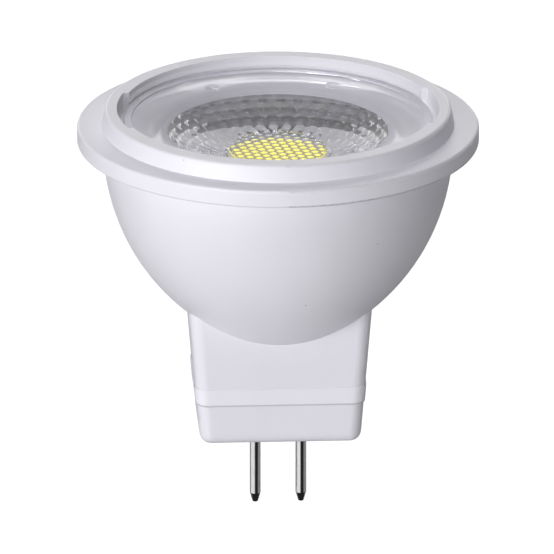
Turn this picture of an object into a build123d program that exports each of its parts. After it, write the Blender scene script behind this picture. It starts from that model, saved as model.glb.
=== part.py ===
from build123d import *
import math
import os

# Reflector spotlight lamp with a two-pin base. Millimetres. The origin is on the underside of
# the base, midway between the pins. +Z runs along the lamp's axis towards the light, and the
# pins stand in a row along X and point down.

# Outer form of the housing
body_height = 29.5
ring_height = 1.5
ring_foot_radius = 15.35
ring_top_radius = 15.05
ring_edge_radius = 0.3
rim_radius = 17.5
rim_height = 1.6
rim_edge_radius = 0.25
bowl_mouth_radius = 15.26
bowl_arc_radius = 19.4
wall = 1.5

# Neck and base cap
base_width = 14.0
base_depth = 9.6
neck_side_draft = 4.7
neck_face_draft = 1.5
neck_corner = 1.1
neck_wall = 1.2
neck_inner_corner = 0.4
neck_reach = 17.0
band_height = 1.55
band_proud = 0.1
cap_height = 3.7
cap_floor = 1.6
cap_edge_radius = 0.9
cap_seam_bevel = 0.12
spigot_length = 2.4
spigot_wall = 1.0

# Contact pins
pin_spacing = 4.0
pin_radius = 0.475
pin_length = 7.0
pin_taper_length = 0.85
pin_tip_radius = 0.24
pin_tip_edge_radius = 0.12
pin_root_radius = 0.62
pin_collar_radius = 0.95
pin_collar_height = 0.5
pin_tail_radius = 0.35
pin_tail_length = 1.2
boss_radius = 1.3
boss_height = 0.9

# Front opening of the housing, its snap bead and the two pockets beside the lens
lens_bore_radius = 13.6
bead_proud = 0.18
bead_start_depth = 0.45
bead_depth = 0.8
pocket_radius = 14.05
pocket_width = 9.2
pocket_depth = 2.0

# Lens
lens_flange_radius = 13.45
lens_rim_depth = 1.0
lens_step_depth = 1.3
lens_step_radius = 12.75
lens_dish_depth = 1.9
lens_dish_radius = 9.75
lens_shoulder_bulge = 0.12
lens_floor_depth = 3.43
lens_floor_radius = 4.6
lens_seat_depth = 2.6
lens_cone_radius = 12.3
lens_cone_bulge = 0.22
lens_foot_depth = 8.6
lens_foot_radius = 6.2
lens_cavity_radius = 5.3
lens_cavity_draft = 0.2
lens_core_depth = 1.9
facet_rows = 6
facets_per_row = 36
cell_pitch = 0.84
cell_gap = 0.05
cell_height = 0.16
cell_taper = 38.0
cell_turn = 8.0

# Heat sink cup, light source and screws
cup_wall = 1.0
cup_floor = 1.2
pad_thickness = 0.2
board_thickness = 1.0
led_board_radius = 11.0
dam_inner_radius = 4.35
dam_width = 0.6
dam_height = 0.45
dam_edge_radius = 0.2
phosphor_height = 0.45
screw_place = 9.0
screw_radius = 1.0
screw_hole_gap = 0.1
screw_head_radius = 1.7
screw_head_height = 1.1
screw_edge_radius = 0.35
screw_length = 2.6
screw_slot_width = 0.4
screw_slot_depth = 0.45
wire_window_width = 4.4
wire_window_depth = 2.0
wire_window_corner = 0.5

# Ribs in the bowl that carry the cup
rib_count = 4
rib_thickness = 1.0
rib_inner_radius = 9.6

# Driver board and what is soldered to it
driver_thickness = 0.8
driver_headroom = 1.4
driver_offset = 1.6
guide_thickness = 0.7
guide_reach = 1.3
can_radius = 2.0
can_height = 6.2
can_place = -3.3
can_level = 2.4
can_groove = 0.15
can_edge_radius = 0.3
can_groove_rise = 1.0
can_groove_width = 0.3
drum_radius = 2.1
drum_height = 2.9
drum_flange = 0.55
drum_post_radius = 0.95
coil_radius = 1.85
drum_place = 2.6
drum_level = 4.7
chip_place = 2.6
chip_level = 5.9
chip_width = 2.9
chip_height = 1.6
chip_thickness = 1.1
chip_lead_width = 0.4
chip_lead_length = 0.6
chip_lead_pitch = 0.95
bridge_place = -2.3
bridge_level = 5.2
bridge_width = 4.7
bridge_height = 3.9
bridge_thickness = 1.3
bridge_lead_width = 0.7
bridge_lead_pitch = 2.5
diode_place = 2.6
diode_level = 2.5
diode_length = 2.7
diode_width = 1.5
diode_thickness = 1.0
lead_thickness = 0.2
package_bevel = 0.18
ceramic_place = -1.9
ceramic_level = 1.3
ceramic_pitch = 2.6
ceramic_length = 2.0
ceramic_width = 1.25
ceramic_thickness = 1.0
ceramic_edge_radius = 0.15
resistor_place = -0.3
resistor_level = 1.5
resistor_pitch = 2.2
resistor_count = 3
resistor_length = 1.6
resistor_width = 0.8
resistor_thickness = 0.45
resistor_bevel = 0.07

# Wires
wire_radius = 0.4
wire_bend = 1.2
pin_wire_spread = 3.2
pin_wire_rise = 1.1
pin_wire_length = 3.4
led_wire_spread = 0.75
led_wire_rise = 1.7
led_wire_place = 8.1
led_wire_drop = 0.68
led_pad_spread = 3.4

# Clearances
bore_gap = 0.1
seat_gap = 0.02
slide_gap = 0.1
lead_gap = 0.05

# Levels and radii that follow from the sizes above
rim_top = body_height - ring_height
rim_base = rim_top - rim_height
bowl_centre = bowl_mouth_radius - bowl_arc_radius
seat_level = body_height - lens_seat_depth
foot_level = body_height - lens_foot_depth
floor_level = body_height - lens_floor_depth
dish_level = body_height - lens_dish_depth
step_level = body_height - lens_step_depth
rim_level = body_height - lens_rim_depth
cavity_top = floor_level - lens_core_depth
board_top = foot_level - seat_gap
board_base = board_top - board_thickness
pedestal_top = cavity_top - seat_gap - phosphor_height
pedestal_radius = dam_inner_radius + dam_width
pad_base = board_base - pad_thickness
cup_base = pad_base - cup_floor
hollow_arc_radius = bowl_arc_radius - wall
cup_radius = lens_bore_radius - bore_gap
spigot_inset = neck_wall + slide_gap
spigot_top = cap_height + spigot_length
boss_top = cap_floor + boss_height
collar_base = boss_top + seat_gap
collar_top = collar_base + pin_collar_height
tail_top = collar_top + pin_tail_length
driver_base = spigot_top + slide_gap
driver_top = cup_base - driver_headroom
driver_height = driver_top - driver_base
driver_front = driver_offset - driver_thickness / 2
driver_back = driver_offset + driver_thickness / 2
wire_front = driver_front - lead_gap - wire_radius


def arc_radius_at(z, arc_radius):
    """Radius at height z of an arc round the bowl's own centre."""
    return bowl_centre + math.sqrt(arc_radius**2 - (rim_base - z) ** 2)


def arc_level(r, arc_radius):
    """Height at which an arc round the bowl's own centre has radius r."""
    return rim_base - math.sqrt(arc_radius**2 - (r - bowl_centre) ** 2)


def bowl_arc(upper, lower, arc_radius):
    """Arc of the bowl's section between two of its points."""
    z = (upper[1] + lower[1]) / 2
    return ThreePointArc(upper, (arc_radius_at(z, arc_radius), z), lower)


def neck_width(z):
    return base_width + 2 * z * math.tan(math.radians(neck_side_draft))


def neck_depth(z):
    return base_depth + 2 * z * math.tan(math.radians(neck_face_draft))


def neck_section(z, inset=0.0, corner=neck_corner):
    """Rounded rectangle of the neck at height z, moved inwards by inset."""
    with BuildSketch(Plane.XY.offset(z)) as section:
        RectangleRounded(neck_width(z) - 2 * inset, neck_depth(z) - 2 * inset, corner)
    return section.sketch


def upright_plane(x):
    """Plane like Plane.XZ, whose own Y axis runs up at a distance x to the right."""
    return Plane((x, 0, 0), x_dir=(1, 0, 0), z_dir=(0, -1, 0))


# The hollow of the bowl behind the lens, less the ribs that carry the cup
with BuildPart() as bowl_hollow:
    bore_end = (lens_bore_radius, arc_level(lens_bore_radius, hollow_arc_radius))
    hollow_end = (0, arc_level(0, hollow_arc_radius))
    with BuildSketch(Plane.XZ):
        with BuildLine():
            Polyline(hollow_end, (0, body_height), (lens_bore_radius, body_height),
                     (lens_bore_radius, body_height - bead_start_depth),
                     (lens_bore_radius - bead_proud, body_height - bead_depth),
                     (lens_bore_radius, body_height - bead_depth - bead_proud / 2),
                     bore_end)
            bowl_arc(bore_end, hollow_end, hollow_arc_radius)
        make_face()
    revolve(axis=Axis.Z)
    with BuildSketch(Plane.XY.offset(hollow_end[1])):
        with PolarLocations((rib_inner_radius + rim_radius) / 2, rib_count, start_angle=45):
            Rectangle(rim_radius - rib_inner_radius, rib_thickness)
    extrude(amount=cup_base - seat_gap - hollow_end[1], mode=Mode.SUBTRACT)

# The hollow of the neck, less the guides that hold the driver board's edges
with BuildPart() as neck_hollow:
    loft([neck_section(cap_height, neck_wall, neck_inner_corner),
          neck_section(neck_reach, neck_wall, neck_inner_corner)])
    guide_inner = neck_width(driver_base) / 2 - neck_wall - guide_reach
    guide_outer = neck_width(neck_reach) / 2
    with BuildSketch(Plane.XY.offset(driver_base)):
        with Locations((0, driver_offset)):
            with GridLocations(guide_inner + guide_outer,
                               driver_thickness + 2 * slide_gap + guide_thickness, 2, 2):
                Rectangle(guide_outer - guide_inner, guide_thickness)
    extrude(amount=driver_height, mode=Mode.SUBTRACT)

with BuildPart() as housing:
    outer_end = (0, arc_level(0, bowl_arc_radius))
    with BuildSketch(Plane.XZ) as section:
        with BuildLine():
            Polyline(outer_end, (0, body_height), (ring_top_radius, body_height),
                     (ring_foot_radius, rim_top), (rim_radius, rim_top),
                     (rim_radius, rim_base), (bowl_mouth_radius, rim_base))
            bowl_arc((bowl_mouth_radius, rim_base), outer_end, bowl_arc_radius)
        make_face()
        fillet(section.vertices().group_by(Axis.X)[-1], rim_edge_radius)
        fillet(section.vertices().group_by(Axis.Y)[-1].sort_by(Axis.X)[-1], ring_edge_radius)
    revolve(axis=Axis.Z)
    loft([neck_section(cap_height), neck_section(neck_reach)])
    band_top = cap_height + band_height
    loft([neck_section(cap_height, -band_proud, neck_corner + band_proud),
          neck_section(band_top, -band_proud, neck_corner + band_proud)])
    add(bowl_hollow.part, mode=Mode.SUBTRACT)
    add(neck_hollow.part, mode=Mode.SUBTRACT)
    with BuildSketch(Plane.XY.offset(body_height)):
        Circle(pocket_radius)
        Rectangle(2 * rim_radius, pocket_width, mode=Mode.INTERSECT)
    extrude(amount=-pocket_depth, mode=Mode.SUBTRACT)

with BuildPart() as base_cap:
    loft([neck_section(0), neck_section(cap_height)])
    fillet(base_cap.faces().sort_by(Axis.Z)[0].edges(), cap_edge_radius)
    chamfer(base_cap.faces().sort_by(Axis.Z)[-1].edges(), cap_seam_bevel)
    loft([neck_section(cap_height, spigot_inset, neck_inner_corner),
          neck_section(spigot_top, spigot_inset, neck_inner_corner)])
    loft([neck_section(cap_floor, spigot_inset + spigot_wall, neck_inner_corner),
          neck_section(spigot_top, spigot_inset + spigot_wall, neck_inner_corner)],
         mode=Mode.SUBTRACT)
    with BuildSketch(Plane.XY.offset(cap_floor)):
        with GridLocations(pin_spacing, 0, 2, 1):
            Circle(boss_radius)
    extrude(amount=boss_height)
    with GridLocations(pin_spacing, 0, 2, 1):
        Hole(pin_root_radius + seat_gap)


def contact_pin(x):
    """Turned pin: tapered tip, plain shank, root in the cap, collar and tail for the wire."""
    with BuildPart() as pin:
        with BuildSketch(upright_plane(x)):
            with BuildLine():
                Polyline((0, -pin_length), (pin_tip_radius, -pin_length),
                         (pin_radius, pin_taper_length - pin_length), (pin_radius, 0),
                         (pin_root_radius, 0), (pin_root_radius, collar_base),
                         (pin_collar_radius, collar_base), (pin_collar_radius, collar_top),
                         (pin_tail_radius, collar_top), (pin_tail_radius, tail_top),
                         (0, tail_top), close=True)
            make_face()
        revolve(axis=Axis((x, 0, 0), (0, 0, 1)))
        tip = pin.edges().filter_by(GeomType.CIRCLE).group_by(Axis.Z)[0]
        fillet(tip, pin_tip_edge_radius)
    return pin


def cone_radius(share):
    """Radius of the lens's cone at a share of its height above the foot, slightly bulged."""
    bulge = lens_cone_bulge * share * (1 - share)
    return lens_foot_radius + (lens_cone_radius - lens_foot_radius) * (share + bulge)


def cone_section(row):
    """Polygon between two rows of the cone's facets."""
    share = row / facet_rows
    with BuildSketch(Plane.XY.offset(foot_level + share * (seat_level - foot_level))) as section:
        RegularPolygon(cone_radius(share), facets_per_row)
    return section.sketch


def cell_places():
    """Centres of the honeycomb cells that lie wholly on the dish's floor."""
    limit = lens_floor_radius - cell_pitch / math.sqrt(3)
    row_pitch = cell_pitch * math.sqrt(3) / 2
    rows = math.ceil(limit / row_pitch)
    columns = math.ceil(limit / cell_pitch) + 1
    places = [((column + row % 2 / 2) * cell_pitch, row * row_pitch)
              for row in range(-rows, rows + 1) for column in range(-columns, columns + 1)]
    return [place for place in places if math.hypot(*place) < limit]


# Clear lens: flange, dished front with a honeycomb floor, faceted cone, cavity over the light
with BuildPart() as lens:
    with BuildSketch(Plane.XZ):
        shoulder = ((lens_step_radius + lens_dish_radius) / 2,
                    (step_level + dish_level) / 2 + lens_shoulder_bulge)
        with BuildLine():
            ThreePointArc((lens_dish_radius, dish_level), shoulder, (lens_step_radius, step_level))
            Polyline((lens_step_radius, step_level), (lens_step_radius, rim_level),
                     (lens_flange_radius, rim_level), (lens_flange_radius, seat_level),
                     (0, seat_level), (0, dish_level), (lens_dish_radius, dish_level))
        make_face()
    revolve(axis=Axis.Z)
    for row in range(facet_rows):
        loft([cone_section(row), cone_section(row + 1)])
    with BuildSketch(Plane.XZ):
        with BuildLine():
            Polyline((0, floor_level), (lens_floor_radius, floor_level),
                     (lens_dish_radius, dish_level), (0, dish_level), close=True)
        make_face()
    revolve(axis=Axis.Z, mode=Mode.SUBTRACT)
    with BuildSketch(Plane.XZ):
        with BuildLine():
            Polyline((0, foot_level), (lens_cavity_radius, foot_level),
                     (lens_cavity_radius - lens_cavity_draft, cavity_top), (0, cavity_top),
                     close=True)
        make_face()
    revolve(axis=Axis.Z, mode=Mode.SUBTRACT)
    with BuildSketch(Plane.XY.offset(floor_level).rotated((0, 0, cell_turn))):
        with Locations(*cell_places()):
            RegularPolygon((cell_pitch - cell_gap) / 2, 6, major_radius=False, rotation=30)
    extrude(amount=cell_height, taper=cell_taper)

# Aluminium cup that lines the bowl. The lens stands on its rim and the light on its floor.
with BuildPart() as heat_sink_cup:
    cup_arc = hollow_arc_radius - bore_gap
    inner_arc = cup_arc - cup_wall
    cup_top = seat_level - seat_gap
    outer_low = (arc_radius_at(cup_base, cup_arc), cup_base)
    outer_high = (cup_radius, arc_level(cup_radius, cup_arc))
    inner_low = (arc_radius_at(pad_base, inner_arc), pad_base)
    inner_high = (cup_radius - cup_wall, arc_level(cup_radius - cup_wall, inner_arc))
    with BuildSketch(Plane.XZ):
        with BuildLine():
            Polyline((0, pad_base), (0, cup_base), outer_low)
            bowl_arc(outer_high, outer_low, cup_arc)
            Polyline(outer_high, (cup_radius, cup_top), (cup_radius - cup_wall, cup_top), inner_high)
            bowl_arc(inner_high, inner_low, inner_arc)
            Line(inner_low, (0, pad_base))
        make_face()
    revolve(axis=Axis.Z)
    with BuildSketch(Plane.XY.offset(cup_base)):
        with GridLocations(2 * screw_place, 0, 2, 1):
            Circle(screw_radius + seat_gap)
        with Locations((0, -led_wire_place)):
            RectangleRounded(wire_window_width, wire_window_depth, wire_window_corner)
    extrude(amount=cup_floor, mode=Mode.SUBTRACT)


def drilled_disc(base, thickness):
    """Disc on the cup's floor with holes for the screws and a window for the wires."""
    with BuildPart() as disc:
        with BuildSketch(Plane.XY.offset(base)):
            Circle(led_board_radius)
            with GridLocations(2 * screw_place, 0, 2, 1):
                Circle(screw_radius + screw_hole_gap, mode=Mode.SUBTRACT)
            with Locations((0, -led_wire_place)):
                RectangleRounded(wire_window_width, wire_window_depth, wire_window_corner,
                                 mode=Mode.SUBTRACT)
        extrude(amount=thickness)
    return disc


thermal_pad = drilled_disc(pad_base, pad_thickness)

# Metal-core board with a round pedestal that lifts the light into the lens's cavity
with BuildPart() as led_board:
    add(drilled_disc(board_base, board_thickness).part)
    with BuildSketch(Plane.XY.offset(board_top)):
        Circle(pedestal_radius)
    extrude(amount=pedestal_top - board_top)

# Silicone ring that holds the phosphor, with a rounded top
with BuildPart() as led_dam:
    with BuildSketch(Plane.XY.offset(pedestal_top)):
        Circle(pedestal_radius)
        Circle(dam_inner_radius, mode=Mode.SUBTRACT)
    extrude(amount=dam_height)
    fillet(led_dam.faces().sort_by(Axis.Z)[-1].edges(), dam_edge_radius)

with BuildPart() as led_phosphor:
    with BuildSketch(Plane.XY.offset(pedestal_top)):
        Circle(dam_inner_radius)
    extrude(amount=phosphor_height)

# Two slotted pan-head screws through the board into the cup's floor
with BuildPart() as board_screws:
    with BuildSketch(Plane.XY.offset(board_top)):
        with GridLocations(2 * screw_place, 0, 2, 1):
            Circle(screw_head_radius)
    extrude(amount=screw_head_height)
    fillet(board_screws.edges().filter_by(GeomType.CIRCLE).group_by(Axis.Z)[-1],
           screw_edge_radius)
    with BuildSketch(Plane.XY.offset(board_top)):
        with GridLocations(2 * screw_place, 0, 2, 1):
            Circle(screw_radius)
    extrude(amount=-screw_length)
    with BuildSketch(Plane.XY.offset(board_top + screw_head_height)):
        with GridLocations(2 * screw_place, 0, 2, 1):
            Rectangle(screw_slot_width, 2 * screw_head_radius)
    extrude(amount=-screw_slot_depth, mode=Mode.SUBTRACT)

with BuildPart() as driver_board:
    driver_width = neck_width(driver_base) - 2 * (neck_wall + slide_gap)
    with BuildSketch(Plane.XY.offset(driver_base)):
        with Locations((0, driver_offset)):
            Rectangle(driver_width, driver_thickness)
    extrude(amount=driver_height)

# Plane on each face of the driver board. Its own Y axis is height above the board's foot, and
# its normal points away from the board.
front_face = Plane((0, driver_front - lead_gap, driver_base), x_dir=(1, 0, 0), z_dir=(0, -1, 0))
back_face = Plane((0, driver_back + lead_gap, driver_base), x_dir=(-1, 0, 0), z_dir=(0, 1, 0))


def leaded_package(x, level, width, height, thickness, lead_width, lead_pitch, lead_counts):
    """Moulded package on the board's back, with flat leads above and below it."""
    with BuildPart() as package:
        with BuildSketch(back_face.offset(lead_thickness / 2)):
            with Locations((-x, level)):
                Rectangle(width, height)
        extrude(amount=thickness - lead_thickness / 2)
        chamfer(package.faces().sort_by(Axis.Y)[-1].edges(), package_bevel)
        with BuildSketch(back_face):
            for side, count in zip((1, -1), lead_counts):
                with Locations((-x, level + side * (height + chip_lead_length) / 2)):
                    with GridLocations(lead_pitch, 0, count, 1):
                        Rectangle(lead_width, chip_lead_length)
            with Locations((-x, level)):
                Rectangle(width - lead_thickness, height)
        extrude(amount=lead_thickness)
    return package


bridge_rectifier = leaded_package(bridge_place, bridge_level, bridge_width, bridge_height,
                                  bridge_thickness, bridge_lead_width, bridge_lead_pitch, (2, 2))
driver_chip = leaded_package(chip_place, chip_level, chip_width, chip_height, chip_thickness,
                             chip_lead_width, chip_lead_pitch, (2, 3))
freewheel_diode = leaded_package(diode_place, diode_level, diode_width, diode_length,
                                 diode_thickness, chip_lead_width, chip_lead_pitch, (1, 1))

with BuildPart() as ceramic_capacitors:
    with BuildSketch(back_face):
        with Locations((-ceramic_place, ceramic_level)):
            with GridLocations(ceramic_pitch, 0, 2, 1):
                Rectangle(ceramic_length, ceramic_width)
    extrude(amount=ceramic_thickness)
    fillet(ceramic_capacitors.edges().filter_by(Axis.Y), ceramic_edge_radius)

with BuildPart() as chip_resistors:
    with BuildSketch(front_face):
        for number in range(resistor_count):
            with Locations((resistor_place, resistor_level + number * resistor_pitch)):
                Rectangle(resistor_width, resistor_length)
    extrude(amount=resistor_thickness)
    chamfer(chip_resistors.faces().group_by(Axis.Y)[0].edges(), resistor_bevel)

# Electrolytic can that stands beside the board, with the groove of its rubber seal
with BuildPart() as smoothing_capacitor:
    can_base = driver_base + can_level
    with BuildSketch(Plane.XY.offset(can_base)):
        with Locations((can_place, driver_front - lead_gap - can_radius)):
            Circle(can_radius)
    extrude(amount=can_height)
    fillet(smoothing_capacitor.edges().filter_by(GeomType.CIRCLE), can_edge_radius)
    with BuildSketch(Plane.XY.offset(can_base + can_groove_rise)):
        with Locations((can_place, driver_front - lead_gap - can_radius)):
            Circle(can_radius + can_groove)
            Circle(can_radius - can_groove, mode=Mode.SUBTRACT)
    extrude(amount=can_groove_width, mode=Mode.SUBTRACT)

# Drum-core inductor on the board's front: core, and the coil wound between its flanges
with BuildPart() as inductor_core:
    for distance, radius, height in ((0, drum_radius, drum_flange),
                                     (drum_flange, drum_post_radius, drum_height - 2 * drum_flange),
                                     (drum_height - drum_flange, drum_radius, drum_flange)):
        with BuildSketch(front_face.offset(distance)):
            with Locations((drum_place, drum_level)):
                Circle(radius)
        extrude(amount=height)

with BuildPart() as inductor_coil:
    with BuildSketch(front_face.offset(drum_flange + seat_gap)):
        with Locations((drum_place, drum_level)):
            Circle(coil_radius)
            Circle(drum_post_radius + seat_gap, mode=Mode.SUBTRACT)
    extrude(amount=drum_height - 2 * (drum_flange + seat_gap))


def wire(points):
    """Round wire along straight runs joined by arcs."""
    with BuildPart() as lead:
        with BuildLine() as route:
            FilletPolyline(*points, radius=wire_bend)
        with BuildSketch(Plane(route.line @ 0, z_dir=route.line % 0)):
            Circle(wire_radius)
        sweep()
    return lead


def pin_wire(side):
    """Wire from a pin's tail to a pad low on the driver board."""
    start = tail_top + seat_gap
    knee = start + pin_wire_rise
    top = start + pin_wire_length
    return wire([(side * pin_spacing / 2, 0, start),
                 (side * pin_spacing / 2, 0, knee),
                 (side * pin_wire_spread, wire_front, (knee + top) / 2),
                 (side * pin_wire_spread, wire_front, top)])


def led_wire(side):
    """Wire from the driver board's top, under the cup and up through its window to the light."""
    x = side * led_wire_spread
    run = cup_base - led_wire_drop
    land = board_top + lead_gap + wire_radius
    return wire([(x, wire_front, run - led_wire_rise),
                 (x, wire_front, run),
                 (x, -led_wire_place, run),
                 (x, -led_wire_place, land),
                 (side * led_pad_spread, -led_wire_place, land)])


pieces = {
    "housing": housing,
    "base_cap": base_cap,
    "pin_left": contact_pin(-pin_spacing / 2),
    "pin_right": contact_pin(pin_spacing / 2),
    "lens": lens,
    "heat_sink_cup": heat_sink_cup,
    "thermal_pad": thermal_pad,
    "led_board": led_board,
    "led_dam": led_dam,
    "led_phosphor": led_phosphor,
    "board_screws": board_screws,
    "driver_board": driver_board,
    "bridge_rectifier": bridge_rectifier,
    "driver_chip": driver_chip,
    "freewheel_diode": freewheel_diode,
    "ceramic_capacitors": ceramic_capacitors,
    "chip_resistors": chip_resistors,
    "smoothing_capacitor": smoothing_capacitor,
    "inductor_core": inductor_core,
    "inductor_coil": inductor_coil,
    "pin_wire_left": pin_wire(-1),
    "pin_wire_right": pin_wire(1),
    "led_wire_negative": led_wire(-1),
    "led_wire_positive": led_wire(1),
}

os.makedirs("parts", exist_ok=True)
for name, piece in pieces.items():
    piece.part.label = name
    export_step(piece.part, f"parts/{name}.step")
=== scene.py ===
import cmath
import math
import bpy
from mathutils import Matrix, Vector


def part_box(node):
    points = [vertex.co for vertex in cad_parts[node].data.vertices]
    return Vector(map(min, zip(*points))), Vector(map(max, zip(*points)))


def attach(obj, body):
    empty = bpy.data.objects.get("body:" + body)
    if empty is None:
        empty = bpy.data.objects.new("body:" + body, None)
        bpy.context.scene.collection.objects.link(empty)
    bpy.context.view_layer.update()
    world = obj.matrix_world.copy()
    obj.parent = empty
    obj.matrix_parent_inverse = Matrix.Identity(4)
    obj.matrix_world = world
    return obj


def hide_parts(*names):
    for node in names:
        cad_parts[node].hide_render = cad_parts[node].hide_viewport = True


bl_info = {
    "name": "Spotlight Bulb",
    "version": (1, 0, 0),
    "blender": (4, 5, 0),
    "location": "3D View > Sidebar > Spotlight",
    "description": "Dresses the two-pin reflector lamp and sets up its studio",
    "category": "Object",
}

import bmesh
import bpy
from bpy.props import FloatProperty, FloatVectorProperty, IntProperty, PointerProperty
from mathutils import Vector

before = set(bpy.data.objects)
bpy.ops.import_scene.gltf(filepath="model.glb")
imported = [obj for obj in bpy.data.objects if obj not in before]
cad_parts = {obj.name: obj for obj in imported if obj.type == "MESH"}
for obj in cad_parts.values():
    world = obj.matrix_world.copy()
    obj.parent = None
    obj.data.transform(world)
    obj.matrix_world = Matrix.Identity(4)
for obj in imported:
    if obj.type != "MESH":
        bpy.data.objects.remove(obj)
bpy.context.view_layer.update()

MM = 0.001
BODY_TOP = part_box("housing")[1].z
LENS_LOW, LENS_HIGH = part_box("lens")
PIN_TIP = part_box("pin_left")[0].z
BASE_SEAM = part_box("housing")[0].z
BAND_HIGHLIGHT_MIDDLE = BASE_SEAM + 0.83 * MM  # height of the band round the neck's lower end that gets a painted highlight
BAND_HIGHLIGHT_HALF = 0.72 * MM
SEAM_SHADE_HALF = 0.09 * MM  # half the height of the line of painted shade where the base meets the neck
LENS_IOR = 1.49
MARK_WAYS = [math.radians(a) for a in (62, 118, 242, 298)]  # where the ejector marks lie
LIGHT_DISTANCE = 0.6


def length(name, description, millimetres):
    """Property for a length, given here in millimetres and kept in metres."""
    return FloatProperty(name=name, description=description, default=millimetres * MM,
                         unit="LENGTH", subtype="DISTANCE", precision=5)


def angle(name, description, degrees):
    return FloatProperty(name=name, description=description, default=math.radians(degrees),
                         unit="ROTATION", subtype="ANGLE")


def colour(name, description, red, green, blue):
    return FloatVectorProperty(name=name, description=description, default=(red, green, blue),
                               size=3, subtype="COLOR", min=0, max=1)


def watts(name, description, default):
    return FloatProperty(name=name, description=description, default=default, min=0,
                         unit="POWER")


def share(name, description, default):
    return FloatProperty(name=name, description=description, default=default, subtype="FACTOR",
                         min=0, max=1)


class SpotlightLensSizes(bpy.types.PropertyGroup):
    """Sizes of the fine mesh of the clear lens."""

    floor_radius: length("Floor radius", "Radius of the honeycomb floor", 4.25)
    floor_depth: length("Floor depth", "Depth of the floor below the ring's top", 3.82)
    dish_radius: length("Dish radius", "Radius of the dish's upper edge", 9.75)
    dish_depth: length("Dish depth", "Depth of the dish's upper edge below the ring's top", 2.15)
    step_radius: length("Step radius", "Radius of the step inside the flange", 12.75)
    step_depth: length("Step depth", "Depth of the step's foot below the ring's top", 1.15)
    shoulder_even: share("Even share of the shoulder", "Part of the shoulder's fall that is "
                         "even. The rest lies near the dish", 0.7)
    seat_depth: length("Seat depth", "Depth of the flange's underside below the ring's top", 2.6)
    lip_height: length("Lip height", "Rise of the fine lip round the dish", 0.1)
    lip_width: length("Lip width", "Width of the fine lip round the dish", 0.24)
    edge_round: length("Edge rounding", "Radius of the moulded edges", 0.09)
    mark_radius: length("Ejector mark radius", "Radius of the ejector marks on the shoulder", 0.5)
    mark_depth: length("Ejector mark depth", "Depth of the ejector marks", 0.07)
    mark_ring: length("Ejector mark ring", "Radius of the ring the ejector marks lie on", 11.2)
    cell_pitch: length("Cell pitch", "Distance between two honeycomb cells", 0.84)
    cell_height: length("Cell height", "Rise of a cell above the line between two cells", 0.16)
    cell_turn: angle("Cell turn", "Turn of the honeycomb about the axis", -19)
    cone_radius: length("Cone radius", "Radius of the cone's upper end", 12.3)
    cone_bulge: share("Cone bulge", "Outward bulge of the cone between its ends", 0.22)
    foot_radius: length("Foot radius", "Radius of the cone's lower end", 6.2)
    cavity_radius: length("Cavity radius", "Radius of the cavity over the light", 5.3)
    cavity_draft: length("Cavity draft", "Narrowing of the cavity towards its roof", 0.2)
    core_depth: length("Core depth", "Thickness between the floor and the light", 1.54)
    cell_clear: share("Clear share of a cell", "Size of a cell's clear top inside its frosted "
                      "groove", 0.68)
    facet_bulge: length("Facet bulge", "Rise of each facet of the cone", 0.16)
    facet_rows: IntProperty(name="Facet rows", description="Rows of facets on the cone", default=8)
    facets_per_row: IntProperty(name="Facets per row", description="Facets round the cone",
                                default=42)


class SpotlightColours(bpy.types.PropertyGroup):
    """Base colours of the lamp's finishes."""

    housing: colour("Housing", "Moulded plastic of the housing and base", 0.80, 0.79, 0.85)
    pins: colour("Pins", "Plating of the contact pins", 0.72, 0.72, 0.74)
    lens: colour("Lens", "Clear moulding", 0.972, 0.972, 1.0)
    frost: colour("Frost", "Frosted shoulder of the lens", 0.67, 0.66, 0.74)
    # Darker than the shoulder's frost of the same plastic: painted shade in the frosted grooves
    groove: colour("Groove", "Frosted grooves between the honeycomb cells", 0.40, 0.40, 0.45)
    phosphor: colour("Phosphor", "Light-emitting disc", 0.95, 0.89, 0.13)
    silicone: colour("Silicone", "Ring round the phosphor", 0.50, 0.50, 0.50)
    mask: colour("Solder mask", "White face of the light source's board", 0.48, 0.48, 0.49)
    aluminium: colour("Aluminium", "Heat sink cup", 0.31, 0.31, 0.35)
    pad: colour("Thermal pad", "Pad under the light source", 0.30, 0.33, 0.38)
    steel: colour("Steel", "Screws", 0.56, 0.56, 0.58)
    laminate: colour("Laminate", "Driver board", 0.03, 0.17, 0.07)
    epoxy: colour("Epoxy", "Moulded packages", 0.020, 0.020, 0.022)
    ceramic: colour("Ceramic", "Ceramic capacitors", 0.40, 0.26, 0.13)
    sleeve: colour("Sleeve", "Sleeve of the smoothing capacitor", 0.02, 0.025, 0.05)
    stripe: colour("Stripe", "Pale stripe down the capacitor's sleeve", 0.42, 0.43, 0.45)
    ferrite: colour("Ferrite", "Core of the inductor", 0.06, 0.06, 0.065)
    copper: colour("Copper", "Enamelled winding", 0.55, 0.20, 0.08)
    wire_white: colour("White wire", "Insulation of the pin wires", 0.78, 0.78, 0.75)
    wire_black: colour("Black wire", "Insulation of the negative wire", 0.02, 0.02, 0.02)
    wire_red: colour("Red wire", "Insulation of the positive wire", 0.50, 0.02, 0.015)


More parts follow.
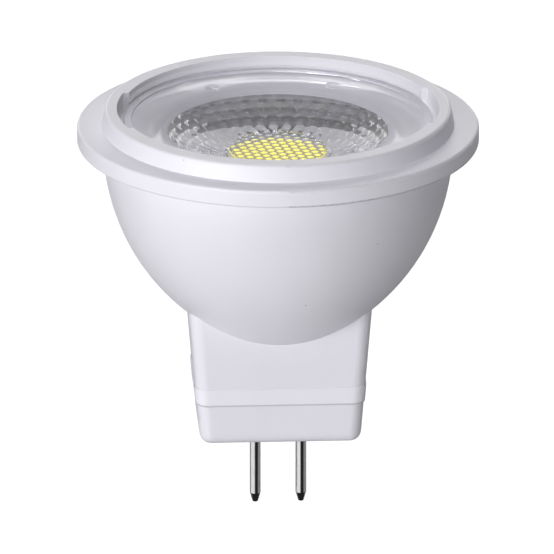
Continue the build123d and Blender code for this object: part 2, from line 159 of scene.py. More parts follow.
class SpotlightStudio(bpy.types.PropertyGroup):
    """Camera, light and floor."""

    azimuth: angle("Azimuth", "Camera's turn about the lamp", -3)
    elevation: angle("Elevation", "Camera's angle above the floor", 19.9)
    focal_length: FloatProperty(name="Focal length", description="Focal length in millimetres",
                                default=1400, subtype="DISTANCE_CAMERA")
    view_width: length("View width", "Width that the picture shows at the lamp's axis", 48.35)
    view_centre: length("View centre", "Height of the picture's centre above the base", 13.82)
    view_side: length("View side", "Sideways distance of the picture's centre from the axis", 0.09)
    key_power: watts("Key power", "Power of the soft light from the front left", 1.66)
    side_power: watts("Side power", "Power of the soft light from the left", 0.06)
    front_power: watts("Front power", "Power of the front light", 1.3)
    rear_power: watts("Rear power", "Power of the low soft light from behind", 0.6)
    back_power: watts("Back power", "Power of the high back light", 0.42)
    over_power: watts("Over power", "Power of the light above", 1.2)
    ambient: share("Ambient", "Strength of the light from all around", 0.05)
    dark_azimuth: angle("Dark card azimuth", "Where the dark card stands, from the front", 25)
    dark_width: angle("Dark card width", "Angle that the dark card covers", 74)
    pale_azimuth: angle("Pale card azimuth", "Where the pale card stands, from the front", -61)
    pale_width: angle("Pale card width", "Angle that the pale card covers", 96)
    floor_glow: share("Floor glow", "Plain white added to what the camera sees of the floor", 0.75)


class Signal:
    """A node's output. Python's operators on a value add Math nodes."""

    def __init__(self, finish, socket):
        self.finish = finish
        self.socket = socket

    def __add__(self, other):
        return self.finish.math("ADD", self, other)

    def __sub__(self, other):
        return self.finish.math("SUBTRACT", self, other)

    def __rsub__(self, other):
        return self.finish.math("SUBTRACT", other, self)

    def __mul__(self, other):
        return self.finish.math("MULTIPLY", self, other)

    def __truediv__(self, other):
        return self.finish.math("DIVIDE", self, other)

    def __rtruediv__(self, other):
        return self.finish.math("DIVIDE", other, self)

    def __lt__(self, other):
        return self.finish.math("LESS_THAN", self, other)

    def __gt__(self, other):
        return self.finish.math("GREATER_THAN", self, other)

    __radd__ = __add__
    __rmul__ = __mul__


class Finish:
    """A material or world under construction."""

    def __init__(self, owner):
        owner.use_nodes = True
        self.owner = owner
        self.tree = owner.node_tree
        self.tree.nodes.clear()

    def node(self, kind, settings=None, inputs=None, output=0):
        """Adds a node, applies its settings, fills its inputs and returns one of its outputs."""
        node = self.tree.nodes.new("ShaderNode" + kind)
        for name, value in (settings or {}).items():
            setattr(node, name, value)
        for key, value in (inputs or {}).items():
            if isinstance(value, Signal):
                self.tree.links.new(value.socket, node.inputs[key])
            else:
                node.inputs[key].default_value = value
        return Signal(self, node.outputs[output])

    def math(self, operation, *values):
        return self.node("Math", {"operation": operation}, dict(enumerate(values)))

    def blend(self, factor, first, second):
        """Mixes two colours."""
        return self.node("Mix", {"data_type": "RGBA"}, {0: factor, 6: first, 7: second}, 2)

    def place(self):
        """Coordinates in metres along X, Y and Z of the lamp's own frame."""
        at = self.node("TexCoord", output="Object")
        return [self.node("SeparateXYZ", inputs={0: at}, output=i) for i in range(3)]

    def noise(self, size, detail=3.0, roughness=0.5, stretch=(1, 1, 1)):
        """Soft random value from 0 to 1 with features of a size in metres."""
        at = self.node("TexCoord", output="Object")
        scaled = self.node("VectorMath", {"operation": "DIVIDE"},
                           {0: at, 1: [size * s for s in stretch]})
        return self.node("TexNoise", inputs={"Vector": scaled, "Scale": 1.0, "Detail": detail,
                                             "Roughness": roughness})

    def grains(self, size, output="Distance"):
        """Cells of a size in metres: the distance to the nearest middle, or each one's colour."""
        at = self.node("TexCoord", output="Object")
        return self.node("TexVoronoi", inputs={"Vector": at, "Scale": 1 / size}, output=output)

    def relief(self, height, depth):
        """Normal of a surface with a small relief, whose depth is in metres."""
        return self.node("Bump", inputs={"Height": height, "Distance": depth})

    def surface(self, **inputs):
        """Principled shader. The names of its inputs are written with underscores."""
        named = {name.replace("_", " "): value for name, value in inputs.items()}
        return self.node("BsdfPrincipled", inputs=named)

    def done(self, shader):
        """Connects the shader to the output and returns the material or world."""
        kind = "OutputWorld" if isinstance(self.owner, bpy.types.World) else "OutputMaterial"
        end = self.tree.nodes.new("ShaderNode" + kind)
        self.tree.links.new(shader.socket, end.inputs["Surface"])
        return self.owner


def new_finish(name):
    return Finish(bpy.data.materials.new(name))


def rgba(values, level=1.0):
    """Colour property as a socket value, lightened or darkened by a level."""
    return (*(min(1.0, v * level) for v in values), 1.0)


def moulded_plastic(name, base, roughness):
    """Satin moulded plastic with a fine spark-eroded texture, flow tones, a few specks, a painted
    highlight on the band round the neck and painted shade along the seam under it."""
    f = new_finish(name)
    z = f.place()[2]
    flow = f.noise(6 * MM, 2.0, stretch=(1, 1, 2.2))
    grain = f.noise(0.11 * MM, 4.0, 0.6)
    ripple = f.noise(1.3 * MM, 2.0)
    speck_gap = 2.1 * MM
    chosen = f.node("SeparateColor", inputs={0: f.grains(speck_gap, "Color")}) > 0.72
    specks = (f.grains(speck_gap) < 0.035) * chosen
    # Painted shade: a dark line along the seam where the base meets the neck
    seam_shade = f.math("ABSOLUTE", z - BASE_SEAM) < SEAM_SHADE_HALF
    # Painted highlight: a lighter band round the neck's lower end
    band_highlight = f.math("ABSOLUTE", z - BAND_HIGHLIGHT_MIDDLE) < BAND_HIGHLIGHT_HALF
    tone = f.blend(flow, rgba(base, 0.97), rgba(base, 1.03))
    # Painted highlight on the band round the neck's lower end
    tone = f.blend(band_highlight * 0.5, tone, rgba(base, 1.12))
    # Painted shade along the seam where the base meets the neck
    tone = f.blend(seam_shade * 0.5, tone, rgba(base, 0.45))
    tone = f.blend(specks * 0.6, tone, rgba(base, 0.25))
    return f.done(f.surface(Base_Color=tone, Roughness=roughness - 0.06 + 0.12 * grain,
                            Normal=f.relief(grain + ripple * 0.6, 0.012 * MM)))


def plated_pin(name, base):
    """Plated pin: turning lines round it and fine scratches along it from being pushed in."""
    f = new_finish(name)
    z = f.place()[2]
    turned = f.math("SINE", z * (math.tau / (0.07 * MM)) + f.noise(0.4 * MM) * 9)
    scratch = f.noise(0.05 * MM, 4.0, 0.7, stretch=(1, 1, 26))
    stain = f.noise(0.9 * MM)
    tone = f.blend(stain, rgba(base, 0.88), rgba(base, 1.08))
    return f.done(f.surface(Base_Color=tone, Metallic=1.0, Roughness=0.06 + 0.1 * scratch,
                            Normal=f.relief(scratch + turned * 0.12, 0.004 * MM)))


def clear_lens(name, base, milky, haze):
    """Clear moulding, whose haze is the share of frosted skin. Light passes straight through."""
    f = new_finish(name)
    film = f.noise(2.5 * MM)
    hair = f.noise(0.06 * MM, stretch=(14, 1, 1))
    skin = f.relief(hair * 0.3 + film, 0.003 * MM)
    body = f.surface(Base_Color=rgba(base), Roughness=0.015 + 0.03 * film, IOR=LENS_IOR,
                     Transmission_Weight=1.0, Normal=skin)
    if haze:
        tone = f.blend(film, rgba(milky, 0.95), rgba(milky, 1.05))
        frosted = f.surface(Base_Color=tone, Roughness=0.34 + 0.08 * film, IOR=LENS_IOR,
                            Normal=skin)
        outside = 1 - f.node("NewGeometry", output="Backfacing")
        body = f.node("MixShader", inputs={0: outside * haze, 1: body, 2: frosted})
    shadow = f.node("LightPath", output="Is Shadow Ray")
    passing = f.node("BsdfTransparent", inputs={"Color": rgba(base, 0.95)})
    return f.done(f.node("MixShader", inputs={0: shadow, 1: body, 2: passing}))


def spun_aluminium(name, base):
    """Spun cup with fine rings, a dull, slightly stained surface and broad bands of painted light
    and shade up its wall.
    """
    f = new_finish(name)
    x, y = f.place()[:2]
    rings = f.math("SINE", f.math("SQRT", x * x + y * y) * (math.tau / (0.21 * MM)))
    stain = f.noise(1.7 * MM, 4.0)
    # Painted light and shade: broad bands up the wall, lighter and darker in turn
    band_noise = f.noise(0.75 * MM, 1.0, stretch=(40, 40, 1))
    light_and_shade_bands = f.node("Clamp", inputs={"Value": (band_noise - 0.35) * 3.2})
    # Tone: random stains, and the bands of painted light and shade
    tone = f.blend(stain * 0.4 + light_and_shade_bands * 0.6, rgba(base, 0.45), rgba(base, 1.45))
    return f.done(f.surface(Base_Color=tone, Metallic=1.0, Roughness=0.36 + 0.14 * stain,
                            Normal=f.relief(rings * 0.5 + stain, 0.008 * MM)))


def soft_rubber(name, base):
    """Silicone or wire insulation with a fine uneven skin."""
    f = new_finish(name)
    skin = f.noise(0.08 * MM)
    tone = f.blend(f.noise(1.1 * MM), rgba(base, 0.88), rgba(base, 1.08))
    return f.done(f.surface(Base_Color=tone, Roughness=0.42 + 0.2 * skin,
                            Normal=f.relief(skin, 0.01 * MM)))


def phosphor_layer(name, base):
    """Silicone filled with yellow powder, over the chips whose rows show through faintly, with a
    painted glow.
    """
    f = new_finish(name)
    x, y = f.place()[:2]
    powder = f.grains(0.07 * MM)
    turn = math.tau / (0.9 * MM)
    rows = f.math("SINE", x * turn) * f.math("SINE", y * turn)
    tone = f.blend(powder, rgba(base, 1.0), rgba((base[0], base[1] * 0.93, base[2] * 0.7)))
    tone = f.blend(rows * rows * 0.12, tone, rgba((base[0], base[1] * 0.88, base[2])))
    # Painted glow: the emission makes the phosphor give off light though the lamp is not lit
    return f.done(f.surface(Base_Color=tone, Roughness=0.5, Emission_Color=rgba(base),
                            Emission_Strength=0.17, Normal=f.relief(powder, 0.01 * MM)))


def coated_board(name, base, weave_pitch, weave_depth):
    """Circuit board under solder mask, with the weave of its glass cloth."""
    f = new_finish(name)
    x, y, z = f.place()
    turn = math.tau / weave_pitch
    weave = f.math("SINE", x * turn) * f.math("SINE", (z + y) * turn)
    cloud = f.noise(1.4 * MM)
    tone = f.blend(cloud, rgba(base, 0.86), rgba(base, 1.12))
    tone = f.blend((weave > 0.55) * 0.25, tone, rgba(base, 1.35))
    return f.done(f.surface(Base_Color=tone, Roughness=0.3 + 0.15 * cloud,
                            Normal=f.relief(weave + cloud, weave_depth)))


def dull_metal(name, base):
    """Machined steel with fine scratches in all directions."""
    f = new_finish(name)
    scratch = f.noise(0.04 * MM, 4.0, 0.7, stretch=(9, 1, 1))
    cross = f.noise(0.05 * MM, 4.0, 0.7, stretch=(1, 9, 1))
    tone = f.blend(f.noise(0.8 * MM), rgba(base, 0.85), rgba(base, 1.1))
    return f.done(f.surface(Base_Color=tone, Metallic=1.0, Roughness=0.25 + 0.2 * scratch,
                            Normal=f.relief(scratch + cross, 0.005 * MM)))


def rough_mineral(name, base, grain, roughness):
    """Moulded epoxy, ceramic or ferrite: matt, with a visible grain."""
    f = new_finish(name)
    grit = f.grains(grain)
    cloud = f.noise(0.6 * MM, 4.0)
    tone = f.blend(grit * 0.6 + cloud * 0.4, rgba(base, 0.7), rgba(base, 1.4))
    return f.done(f.surface(Base_Color=tone, Roughness=roughness + 0.15 * cloud,
                            Normal=f.relief(grit + cloud, 0.012 * MM)))


def printed_sleeve(name, base, stripe, stripe_x):
    """Shrunk sleeve with a plain pale stripe down one side."""
    f = new_finish(name)
    x = f.place()[0]
    skin = f.noise(0.1 * MM)
    tone = f.blend(f.noise(0.9 * MM), rgba(base, 0.8), rgba(base, 1.3))
    tone = f.blend(f.math("ABSOLUTE", x - stripe_x) < 0.45 * MM, tone, rgba(stripe))
    return f.done(f.surface(Base_Color=tone, Roughness=0.3 + 0.15 * skin,
                            Normal=f.relief(skin, 0.006 * MM)))


def wound_copper(name, base):
    """Enamelled wire, wound turn beside turn along the coil, with painted shade between the turns
    and a painted highlight on their crests.
    """
    f = new_finish(name)
    y = f.place()[1]
    turns = f.math("ABSOLUTE", f.math("SINE", y * (math.pi / (0.14 * MM))))
    # Painted shade in the grooves between the turns and a painted highlight on their crests
    tone = f.blend(turns, rgba(base, 0.25), rgba(base, 1.15))
    return f.done(f.surface(Base_Color=tone, Metallic=0.85, Roughness=0.3 - 0.1 * turns,
                            Normal=f.relief(turns, 0.05 * MM)))


def dress(finish, *nodes):
    """Gives CAD nodes a finish in all their material slots."""
    for name in nodes:
        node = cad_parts[name]
        if not node.material_slots:
            node.data.materials.append(finish)
        for slot in node.material_slots:
            slot.material = finish


def rounded(points, radius):
    """Copy of a section line in which each inner corner is an arc of about a radius."""
    steps = 3
    line = [Vector(points[0])]
    for before, corner, after in zip(points, points[1:], points[2:]):
        corner = Vector(corner)
        back, ahead = Vector(before) - corner, Vector(after) - corner
        reach = min(radius, back.length / 2.2, ahead.length / 2.2)
        start, end = corner + back.normalized() * reach, corner + ahead.normalized() * reach
        for step in range(steps + 1):
            t = step / steps
            line.append(start * (1 - t) ** 2 + corner * 2 * t * (1 - t) + end * t ** 2)
    return [*line, Vector(points[-1])]


def clipped(outline, radius, sides):
    """Part of a convex outline of complex numbers inside a regular polygon of a radius."""
    for side in range(sides):
        if len(outline) < 3:
            break
        outward = cmath.rect(1, math.tau * (side + 0.5) / sides)
        limit = radius * math.cos(math.pi / sides)
        kept = []
        for here, there in zip(outline, outline[1:] + outline[:1]):
            over, next_over = ((p / outward).real - limit for p in (here, there))
            if over <= 0:
                kept.append(here)
            if (over < 0 < next_over) or (next_over < 0 < over):
                kept.append(here + (there - here) * over / (over - next_over))
        outline = kept
    return outline


def divided(outline, step):
    """Outline of complex numbers with each of its edges cut into about equal steps."""
    points = []
    for here, there in zip(outline, outline[1:] + outline[:1]):
        count = max(1, round(abs(there - here) / step))
        points += [here + (there - here) * i / count for i in range(count)]
    return points


CLEAR, SHOULDER, GROOVE = range(3)  # the lens's material slots


class LensMesh:
    """Vertices and faces of the lens, with one vertex at any one place. Each face keeps the
    number of its finish: clear, frosted shoulder or frosted groove."""

    def __init__(self):
        self.points = []
        self.faces = []
        self.finishes = []
        self.known = {}

    def point(self, x, y, z):
        """Number of the vertex at a place, to a hundredth of a micrometre."""
        key = tuple(round(v / (0.01 * MM), 3) for v in (x, y, z))
        if key not in self.known:
            self.known[key] = len(self.points)
            self.points.append((x, y, z))
        return self.known[key]

    def strip(self, first, second, finish=CLEAR):
        """Quads between two closed rows of vertices of the same count."""
        for i in range(len(first)):
            j = (i + 1) % len(first)
            self.face((first[i], first[j], second[j], second[i]), finish)

    def fan(self, row, middle):
        """Triangles between a closed row of vertices and one in its middle."""
        for i in range(len(row)):
            self.face((row[i], row[(i + 1) % len(row)], middle), CLEAR)

    def face(self, corners, finish):
        """Adds a face. Corners that have run together count once, and a flat face is left out."""
        corners = tuple(dict.fromkeys(corners))
        if len(corners) > 2:
            self.faces.append(corners)
            self.finishes.append(finish)

    def rim(self):
        """Vertices of the open border, in order round the axis."""
        edges = {}
        for face in self.faces:
            for pair in zip(face, face[1:] + face[:1]):
                edges[frozenset(pair)] = edges.get(frozenset(pair), 0) + 1
        border = {v for edge, uses in edges.items() if uses == 1 for v in edge}
        return sorted(border, key=lambda v: math.atan2(self.points[v][1], self.points[v][0]))


def honeycomb(mesh, sizes, level):
    """Floor of the dish: round-topped cells side by side, cut off by the floor's edge."""
    pitch, radius = sizes.cell_pitch, sizes.floor_radius
    dome = ((pitch / 2) ** 2 + sizes.cell_height ** 2) / (2 * sizes.cell_height)  # its radius
    corner = pitch / math.sqrt(3)
    row_pitch = pitch * math.sqrt(3) / 2
    turn = cmath.rect(1, sizes.cell_turn)
    reach = math.ceil(radius / row_pitch) + 1
    for row in range(-reach, reach + 1):
        for column in range(-reach, reach + 1):
            centre = complex((column + row % 2 / 2) * pitch, row * row_pitch) * turn
            if abs(centre) > radius + corner:
                continue
            outline = [centre + cmath.rect(corner, math.pi * (2 * side + 1) / 6) * turn
                       for side in range(6)]
            if abs(centre) + corner > radius * 0.99:
                outline = clipped(outline, radius, 360)
            if len(outline) < 3:  # nothing of the cell lies on the floor
                continue
            outline = divided(outline, corner / 3)
            middle = sum(outline) / len(outline)
            rows = []
            for size in (1, sizes.cell_clear, 0.6, 0.4, 0.2, 0):
                rows.append([])
                for edge in outline:
                    p = middle + (edge - middle) * size
                    rise = math.sqrt(dome ** 2 - abs(p - centre) ** 2) - dome
                    rows[-1].append(mesh.point(p.real, p.imag, level + rise + sizes.cell_height))
            for outer, inner in zip(rows, rows[1:-1]):
                mesh.strip(outer, inner, GROOVE if outer is rows[0] else CLEAR)
            mesh.fan(rows[-2], rows[-1][0])


def shoulder_rows(sizes, count=16):
    """Points of the shoulder, which steepens towards the dish, from there out to the step."""
    rows = []
    for i in range(count + 1):
        t = i / count
        r = sizes.dish_radius + (sizes.step_radius - sizes.dish_radius) * t
        fall = sizes.shoulder_even * (1 - t) + (1 - sizes.shoulder_even) * (1 - t) ** 7
        rows.append((r, BODY_TOP - sizes.step_depth - (sizes.dish_depth - sizes.step_depth) * fall))
    return rows


def mark_dents(sizes, r):
    """Dents of the ejector marks at a radius, as the (r, z) move of a vertex by its way round."""
    def lift(way):
        away = min(math.hypot(r - sizes.mark_ring,
                              sizes.mark_ring * math.remainder(way - mark, math.tau))
                   for mark in MARK_WAYS)
        steep = 2.5  # how soon a dent reaches its full depth
        return 0, -sizes.mark_depth * max(0, min(1, steep * (1 - away / sizes.mark_radius)))
    return lift


def facet_bulges(sizes, slope, down):
    """Bulge of the facets along the normal of the cone, at a share of the way down it."""
    u = down * sizes.facet_rows % 1

    def lift(way):
        v = way * sizes.facets_per_row / math.tau % 1
        middle = 1 / 16  # what the product below comes to in a facet's middle
        rise = sizes.facet_bulge * u * (1 - u) * v * (1 - v) / middle
        return rise * math.sin(slope), -rise * math.cos(slope)
    return lift


def lens_mesh(sizes):
    """The whole lens as one closed mesh."""
    mesh = LensMesh()
    floor_level = BODY_TOP - sizes.floor_depth
    seat_level = BODY_TOP - sizes.seat_depth
    foot_level = LENS_LOW.z
    flange = LENS_HIGH.x
    honeycomb(mesh, sizes, floor_level)
    row = mesh.rim()
    ways = [math.atan2(mesh.points[v][1], mesh.points[v][0]) for v in row]

    def ring(r, z, lift=None):
        """New row of vertices at a radius and height, moved by lift(way) along (r, z)."""
        made = []
        for way in ways:
            dr, dz = lift(way) if lift else (0, 0)
            made.append(mesh.point((r + dr) * math.cos(way), (r + dr) * math.sin(way), z + dz))
        return made

    wall_steps = 8
    wall = [(sizes.floor_radius + (sizes.dish_radius - sizes.floor_radius) * i / wall_steps,
             floor_level + (BODY_TOP - sizes.dish_depth - floor_level) * i / wall_steps)
            for i in range(wall_steps + 1)]
    wall[0] = (wall[0][0] + sizes.edge_round / 2, wall[0][1])
    brink = wall.pop()
    lip = [(brink[0] - sizes.lip_width / 2, brink[1]), (brink[0], brink[1] + sizes.lip_height)]
    top = rounded(wall + lip + shoulder_rows(sizes)[1:], sizes.edge_round)
    flange_line = rounded([top[-1], (sizes.step_radius, LENS_HIGH.z), (flange, LENS_HIGH.z),
                           (flange, seat_level), (sizes.cone_radius, seat_level)],
                          sizes.edge_round)
    for r, z in [*top, *flange_line[1:]]:
        on_top = r > brink[0] - sizes.lip_width / 2 and z > seat_level + 2 * sizes.edge_round
        marked = sizes.dish_radius < r < sizes.step_radius
        new = ring(r, z, mark_dents(sizes, r) if marked else None)
        mesh.strip(row, new, SHOULDER if on_top else CLEAR)
        row = new
    slope = math.atan2(seat_level - foot_level, sizes.cone_radius - sizes.foot_radius)
    cone_steps = sizes.facet_rows * 6
    for step in range(1, cone_steps + 1):
        down = step / cone_steps
        up = 1 - down
        r = sizes.foot_radius + (sizes.cone_radius - sizes.foot_radius) * (
            up + sizes.cone_bulge * up * down)
        z = foot_level + (seat_level - foot_level) * up
        new = ring(r, z, facet_bulges(sizes, slope, down))
        mesh.strip(row, new)
        row = new
    roof = floor_level - sizes.core_depth
    inner = sizes.cavity_radius - sizes.cavity_draft
    for r, z in rounded([(sizes.foot_radius, foot_level), (sizes.cavity_radius, foot_level),
                         (inner, roof), (inner / 2, roof)], sizes.edge_round)[1:]:
        new = ring(r, z)
        mesh.strip(row, new)
        row = new
    mesh.fan(row, mesh.point(0, 0, roof))
    made = bpy.data.meshes.new("lens_clear")
    made.from_pydata(mesh.points, [], mesh.faces)
    made.polygons.foreach_set("material_index", mesh.finishes)
    work = bmesh.new()
    work.from_mesh(made)
    bmesh.ops.recalc_face_normals(work, faces=work.faces)
    work.to_mesh(made)
    work.free()
    made.shade_smooth()
    crease = 32
    made.set_sharp_from_angle(angle=math.radians(crease))
    return made


class SPOTLIGHT_OT_housing(bpy.types.Operator):
    """Gives the housing and the base cap their moulded plastic"""

    bl_idname = "spotlight.housing"
    bl_label = "Housing and base"

    def execute(self, context):
        colours = context.scene.spotlight_colours
        dress(moulded_plastic("housing_satin_plastic", colours.housing, 0.40), "housing")
        dress(moulded_plastic("base_satin_plastic", colours.housing, 0.38), "base_cap")
        return {"FINISHED"}


class SPOTLIGHT_OT_pins(bpy.types.Operator):
    """Gives the contact pins their plating"""

    bl_idname = "spotlight.pins"
    bl_label = "Contact pins"

    def execute(self, context):
        dress(plated_pin("pin_plating", context.scene.spotlight_colours.pins),
              "pin_left", "pin_right")
        return {"FINISHED"}


class SPOTLIGHT_OT_lens(bpy.types.Operator):
    """Builds the clear lens with its round honeycomb cells and pillow facets"""

    bl_idname = "spotlight.lens"
    bl_label = "Clear lens"

    def execute(self, context):
        colours = context.scene.spotlight_colours
        lens = bpy.data.objects.new("lens_moulding", lens_mesh(context.scene.spotlight_lens))
        context.scene.collection.objects.link(lens)
        for name, milky, haze in (("lens_clear_plastic", colours.lens, 0),
                                  ("lens_frosted_shoulder", colours.frost, 0.8),
                                  # The grooves' frost is darker than the shoulder's: painted shade
                                  ("lens_frosted_groove_painted_shade", colours.groove, 0.7)):
            lens.data.materials.append(clear_lens(name, colours.lens, milky, haze))
        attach(lens, "root")
        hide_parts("lens")
        return {"FINISHED"}


class SPOTLIGHT_OT_light_source(bpy.types.Operator):
    """Finishes the phosphor disc, its silicone ring, the board, the pad and the screws"""

    bl_idname = "spotlight.light_source"
    bl_label = "Light source"

    def execute(self, context):
        colours = context.scene.spotlight_colours
        dress(phosphor_layer("phosphor_silicone_painted_glow", colours.phosphor), "led_phosphor")
        dress(soft_rubber("dam_white_silicone", colours.silicone), "led_dam")
        dress(coated_board("board_white_mask", colours.mask, 0.5 * MM, 0.004 * MM), "led_board")
        dress(soft_rubber("pad_grey_silicone", colours.pad), "thermal_pad")
        dress(dull_metal("screw_steel", colours.steel), "board_screws")
        return {"FINISHED"}


class SPOTLIGHT_OT_cup(bpy.types.Operator):
    """Finishes the heat sink cup"""

    bl_idname = "spotlight.cup"
    bl_label = "Heat sink cup"

    def execute(self, context):
        dress(spun_aluminium("cup_spun_aluminium", context.scene.spotlight_colours.aluminium),
              "heat_sink_cup")
        return {"FINISHED"}


class SPOTLIGHT_OT_driver(bpy.types.Operator):
    """Finishes the driver board and what is soldered to it"""

    bl_idname = "spotlight.driver"
    bl_label = "Driver board"

    def execute(self, context):
        colours = context.scene.spotlight_colours
        low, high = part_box("smoothing_capacitor")
        dress(coated_board("driver_green_mask", colours.laminate, 0.45 * MM, 0.008 * MM),
              "driver_board")
        dress(rough_mineral("package_epoxy", colours.epoxy, 0.06 * MM, 0.5),
              "bridge_rectifier", "driver_chip", "freewheel_diode")
        dress(rough_mineral("capacitor_ceramic", colours.ceramic, 0.05 * MM, 0.35),
              "ceramic_capacitors")
        dress(rough_mineral("resistor_glaze", colours.epoxy, 0.03 * MM, 0.25), "chip_resistors")
        dress(printed_sleeve("capacitor_sleeve", colours.sleeve, colours.stripe,
                             (low.x + high.x) / 2 + 0.9 * MM), "smoothing_capacitor")
        dress(rough_mineral("core_ferrite", colours.ferrite, 0.05 * MM, 0.55), "inductor_core")
        dress(wound_copper("coil_enamelled_copper", colours.copper), "inductor_coil")
        return {"FINISHED"}


class SPOTLIGHT_OT_wires(bpy.types.Operator):
    """Finishes the four wires"""

    bl_idname = "spotlight.wires"
    bl_label = "Wires"

    def execute(self, context):
        colours = context.scene.spotlight_colours
        dress(soft_rubber("wire_white_insulation", colours.wire_white),
              "pin_wire_left", "pin_wire_right")
        dress(soft_rubber("wire_black_insulation", colours.wire_black), "led_wire_negative")
        dress(soft_rubber("wire_red_insulation", colours.wire_red), "led_wire_positive")
        return {"FINISHED"}


def area_light(name, width, height, power, azimuth, elevation):
    """Soft rectangular lamp that faces the lamp's middle. Azimuth 0 is in front of it."""
    light = bpy.data.lights.new(name, "AREA")
    light.shape = "RECTANGLE"
    light.size, light.size_y = width, height
    light.energy = power
    way = Vector((math.sin(azimuth) * math.cos(elevation),
                  -math.cos(azimuth) * math.cos(elevation), math.sin(elevation)))
    lamp = bpy.data.objects.new(name, light)
    lamp.location = way * LIGHT_DISTANCE + Vector((0, 0, BODY_TOP / 2))
    lamp.rotation_mode = "QUATERNION"
    lamp.rotation_quaternion = way.to_track_quat("Z", "Y")
    bpy.context.scene.collection.objects.link(lamp)


def studio_floor(studio):
    """Wide pale floor under the pins, which keeps the lamp's soft shadow."""
    half = 1.5
    mesh = bpy.data.meshes.new("studio_floor")
    mesh.from_pydata([(-half, -half, PIN_TIP), (half, -half, PIN_TIP), (half, half, PIN_TIP),
                      (-half, half, PIN_TIP)], [], [(0, 1, 2, 3)])
    floor = bpy.data.objects.new("studio_floor", mesh)
    bpy.context.scene.collection.objects.link(floor)
    f = new_finish("floor_white")
    paper = f.surface(Base_Color=(0.8, 0.8, 0.8, 1), Roughness=0.9, Specular_IOR_Level=0.1)
    glow = f.node("Emission", inputs={"Color": (1, 1, 1, 1), "Strength": studio.floor_glow})
    both = f.node("AddShader", inputs={0: paper, 1: glow})
    mesh.materials.append(f.done(f.node("MixShader", inputs={
        0: background_rays(f), 1: paper, 2: both})))
    floor.visible_glossy = False


def background_rays(f):
    """1 for rays that show a background: from the camera, or through gloss or clear plastic."""
    seen = f.node("LightPath", output="Is Camera Ray")
    for kind in ("Is Glossy Ray", "Is Transmission Ray"):
        seen = f.math("MAXIMUM", seen, f.node("LightPath", output=kind))
    return seen


def studio_world(studio):
    """White backdrop and plain soft light from all around. Low down, metal and gloss reflect a
    grey room with a dark card and a pale one."""
    world = bpy.data.worlds.new("studio_world")
    bpy.context.scene.world = world
    f = Finish(world)
    way = f.node("TexCoord", output="Generated")
    x, y, z = (f.node("SeparateXYZ", inputs={0: way}, output=i) for i in range(3))

    def card(azimuth, width):
        """1 inside an upright strip of the room, whose edges are soft."""
        across = f.math("SQRT", x * x + y * y)
        facing = (x * math.sin(azimuth) - y * math.cos(azimuth)) / across
        sharp = 12
        return f.node("Clamp", inputs={"Value": (facing - math.cos(width / 2)) * sharp})

    def level(strength, tint=(1, 1, 1, 1)):
        return f.node("Background", inputs={"Color": tint, "Strength": strength})

    room = f.node("MixShader", inputs={0: card(studio.pale_azimuth, studio.pale_width),
                                       1: level(0.3), 2: level(1.0)})
    below = f.math("MAXIMUM", card(studio.dark_azimuth, studio.dark_width), z < -0.6)
    room = f.node("MixShader", inputs={0: below, 1: room, 2: level(0.02)})
    soft = level(studio.ambient, (0.92, 0.90, 1, 1))
    shine = f.node("LightPath", output="Is Glossy Ray")
    seen = f.node("MixShader", inputs={0: (z < 0.02) * shine, 1: level(1.0), 2: room})
    f.done(f.node("MixShader", inputs={0: background_rays(f), 1: soft, 2: seen}))


def studio_camera(studio):
    """Camera at the photograph's angle, far off with a long lens."""
    data = bpy.data.cameras.new("studio_camera")
    data.lens = studio.focal_length
    distance = studio.view_width * data.lens / data.sensor_width
    data.clip_start, data.clip_end = distance / 50, distance * 50
    camera = bpy.data.objects.new("studio_camera", data)
    a, e = studio.azimuth, studio.elevation
    back = Vector((math.sin(a) * math.cos(e), -math.cos(a) * math.cos(e), math.sin(e)))
    right = Vector((math.cos(a), math.sin(a), 0))
    aim = Vector((0, 0, studio.view_centre)) - right * studio.view_side
    camera.location = aim + back * distance
    camera.rotation_mode = "QUATERNION"
    camera.rotation_quaternion = back.to_track_quat("Z", "Y")
    bpy.context.scene.collection.objects.link(camera)
    bpy.context.scene.camera = camera


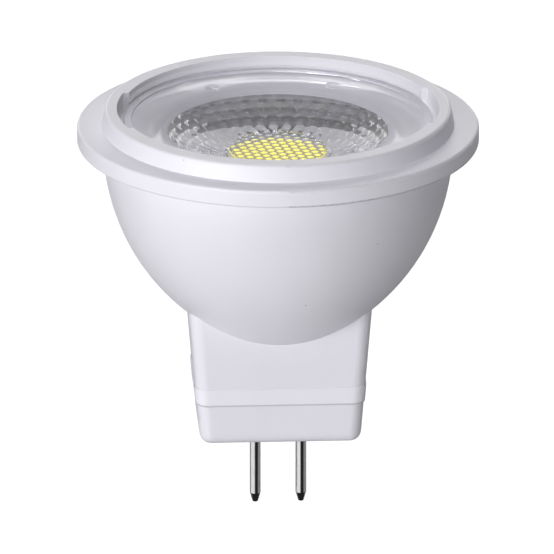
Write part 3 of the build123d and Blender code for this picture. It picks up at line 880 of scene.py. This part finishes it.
class SPOTLIGHT_OT_studio(bpy.types.Operator):
    """Sets up the floor, the light and the camera"""

    bl_idname = "spotlight.studio"
    bl_label = "Studio"

    def execute(self, context):
        studio = context.scene.spotlight_studio
        context.scene.view_settings.view_transform = "Standard"
        studio_floor(studio)
        studio_world(studio)
        studio_camera(studio)
        # Width and height in metres, azimuth and elevation in degrees
        for name, width, height, power, azimuth, elevation in (
                ("key_light", 0.46, 0.16, studio.key_power, -46, 7),
                ("side_light", 0.4, 0.2, studio.side_power, -100, 9),
                ("front_light", 0.46, 0.26, studio.front_power, -20, 14),
                ("rear_light", 0.5, 0.12, studio.rear_power, 178, 5),
                ("back_light", 0.16, 0.13, studio.back_power, 177, 40),
                ("over_light", 0.6, 0.5, studio.over_power, 0, 78)):
            area_light(name, width, height, power, math.radians(azimuth),
                       math.radians(elevation))
        return {"FINISHED"}


OPERATORS = (SPOTLIGHT_OT_housing, SPOTLIGHT_OT_pins, SPOTLIGHT_OT_lens,
             SPOTLIGHT_OT_light_source, SPOTLIGHT_OT_cup, SPOTLIGHT_OT_driver,
             SPOTLIGHT_OT_wires, SPOTLIGHT_OT_studio)


class SPOTLIGHT_PT_sidebar(bpy.types.Panel):
    """Lists the pieces of the lamp and their settings"""

    bl_idname = "SPOTLIGHT_PT_sidebar"
    bl_label = "Spotlight bulb"
    bl_space_type = "VIEW_3D"
    bl_region_type = "UI"
    bl_category = "Spotlight"

    def draw(self, context):
        for operator in OPERATORS:
            self.layout.operator(operator.bl_idname)
        for settings in (context.scene.spotlight_lens, context.scene.spotlight_colours,
                         context.scene.spotlight_studio):
            box = self.layout.box()
            for name in settings.bl_rna.properties.keys():
                if name not in {"rna_type", "name"}:
                    box.prop(settings, name)


GROUPS = {"spotlight_lens": SpotlightLensSizes, "spotlight_colours": SpotlightColours,
          "spotlight_studio": SpotlightStudio}


def register():
    for kind in (*GROUPS.values(), *OPERATORS, SPOTLIGHT_PT_sidebar):
        bpy.utils.register_class(kind)
    for name, kind in GROUPS.items():
        setattr(bpy.types.Scene, name, PointerProperty(type=kind))


def unregister():
    for name in GROUPS:
        delattr(bpy.types.Scene, name)
    for kind in (SPOTLIGHT_PT_sidebar, *OPERATORS, *GROUPS.values()):
        bpy.utils.unregister_class(kind)


def main():
    register()
    bpy.ops.spotlight.housing()
    bpy.ops.spotlight.pins()
    bpy.ops.spotlight.lens()
    bpy.ops.spotlight.light_source()
    bpy.ops.spotlight.cup()
    bpy.ops.spotlight.driver()
    bpy.ops.spotlight.wires()
    bpy.ops.spotlight.studio()


if __name__ == "__main__":
    main()
